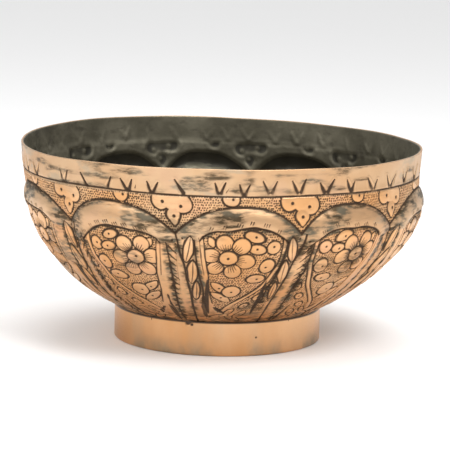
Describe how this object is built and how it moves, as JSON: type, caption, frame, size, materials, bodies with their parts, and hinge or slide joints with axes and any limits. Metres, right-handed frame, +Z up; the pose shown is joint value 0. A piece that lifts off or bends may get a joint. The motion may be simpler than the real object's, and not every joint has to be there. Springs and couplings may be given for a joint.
{
  "type": "footed copper bowl",
  "caption": "Footed bowl of raised sheet copper with pushed-out, chased lobes round the wall, a tinned inside and a plain soldered foot ring. It holds food or fruit on a table.",
  "frame": {"origin": "the centre of the foot ring's underside, at the bottom centre of the object's box", "axes": "+Z is up along the bowl's axis, -Y is the front with a lobe just right of it, +X is to the right seen from the front, and the foot ring's seam is at the back, towards +Y"},
  "size_m": [0.2, 0.2008, 0.0982],
  "materials": {
    "copper": "worn hand polish over hammered and chased copper, with dark patina in the chased lines",
    "tin": "dull dark grey wiped tin with wipe marks and wear",
    "foot_copper": "smooth worn copper with faint grey tarnish",
    "solder": "dull grey soft solder",
    "braze": "dull filed brazing brass"
  },
  "bodies": {
    "root": {"bowl": "copper", "tin_lining": "tin", "foot_ring": "foot_copper", "foot_solder": "solder", "foot_braze": "braze"}
  },
  "joints": []
}
